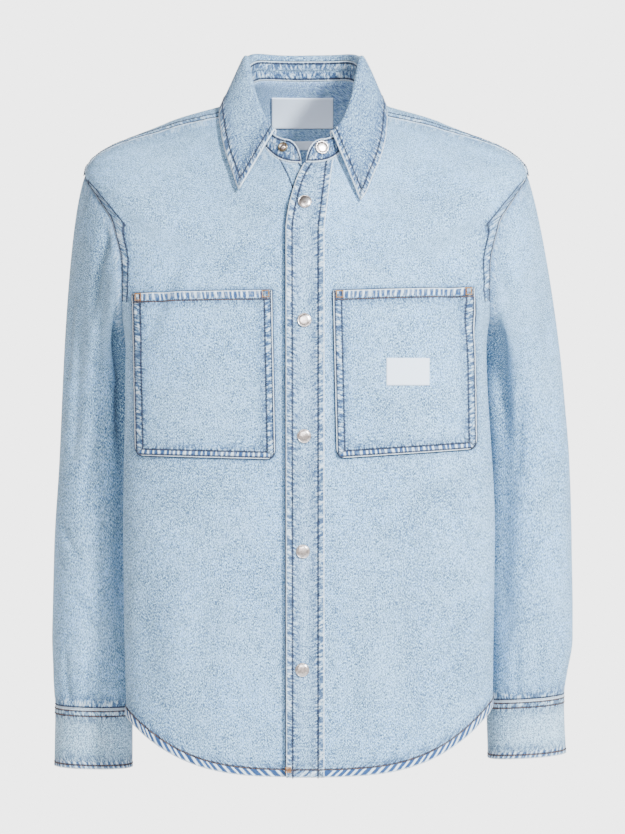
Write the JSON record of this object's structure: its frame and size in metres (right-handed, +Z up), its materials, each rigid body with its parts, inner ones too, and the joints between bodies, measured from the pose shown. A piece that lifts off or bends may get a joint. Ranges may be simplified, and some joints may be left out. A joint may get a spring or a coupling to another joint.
{
  "type": "denim shirt",
  "caption": "Long-sleeved washed denim shirt, filled out as if worn and empty inside, with a pointed collar, snap placket, patch pockets and a curved hem.",
  "frame": {"origin": "midway between the two points where the shoulder seams meet the neck, at their height", "axes": "+Z up along the body, the front faces -Y, the wearer's left side is +X"},
  "size_m": [0.5767, 0.2474, 0.7951],
  "materials": {
    "denim": "pale washed blue cotton denim, matt",
    "label": "pale woven tape, bare",
    "snap": "satin"
  },
  "bodies": {
    "root": {"front_left": "denim", "front_right": "denim", "back": "denim", "yoke": "denim", "sleeve_left": "denim", "sleeve_right": "denim", "cuff_left": "denim", "cuff_right": "denim", "collar_stand": "denim", "collar": "denim", "placket": "denim", "pocket_left": "denim", "pocket_right": "denim", "pocket_label": "label", "neck_label": "label", "size_label": "label", "snap_front_1": "snap", "snap_front_2": "snap", "snap_front_3": "snap", "snap_front_4": "snap", "snap_front_5": "snap", "snap_collar": "snap", "stud_collar": "snap", "snap_cuff_left": "snap", "snap_cuff_right": "snap"}
  },
  "joints": []
}
